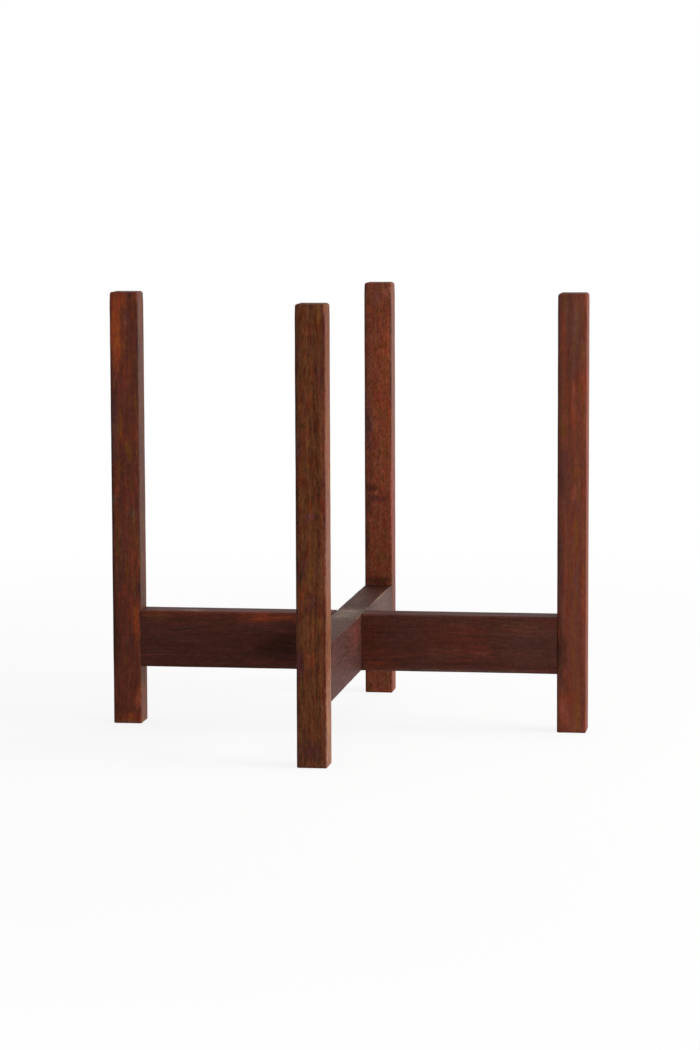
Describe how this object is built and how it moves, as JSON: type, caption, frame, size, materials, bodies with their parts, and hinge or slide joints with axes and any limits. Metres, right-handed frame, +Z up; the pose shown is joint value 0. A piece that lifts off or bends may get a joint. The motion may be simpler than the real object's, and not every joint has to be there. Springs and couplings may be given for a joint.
{
  "type": "plant stand",
  "caption": "Low timber stand for a round plant pot: square posts rise at the ends of a half-lapped cross of rails, which carries the pot and keeps it centred.",
  "frame": {"origin": "on the floor, under the middle of the cross of rails", "axes": "+Z up; X along the left-to-right rail with the right-hand post at +X; Y along the front-to-back rail with the front post at -Y"},
  "size_m": [0.33, 0.33, 0.301],
  "materials": {
    "post_wood": "dark red-brown stain under satin lacquer, open grain",
    "rail_wood": "dark red-brown stain under satin lacquer, fine grain",
    "dowel_wood": "bare planed beech, hidden in the joints"
  },
  "bodies": {
    "root": {"post_right": "post_wood", "post_back": "post_wood", "post_left": "post_wood", "post_front": "post_wood", "rail_left_right": "rail_wood", "rail_front_back": "rail_wood", "dowel_right_upper": "dowel_wood", "dowel_right_lower": "dowel_wood", "dowel_back_upper": "dowel_wood", "dowel_back_lower": "dowel_wood", "dowel_left_upper": "dowel_wood", "dowel_left_lower": "dowel_wood", "dowel_front_upper": "dowel_wood", "dowel_front_lower": "dowel_wood"}
  },
  "joints": []
}
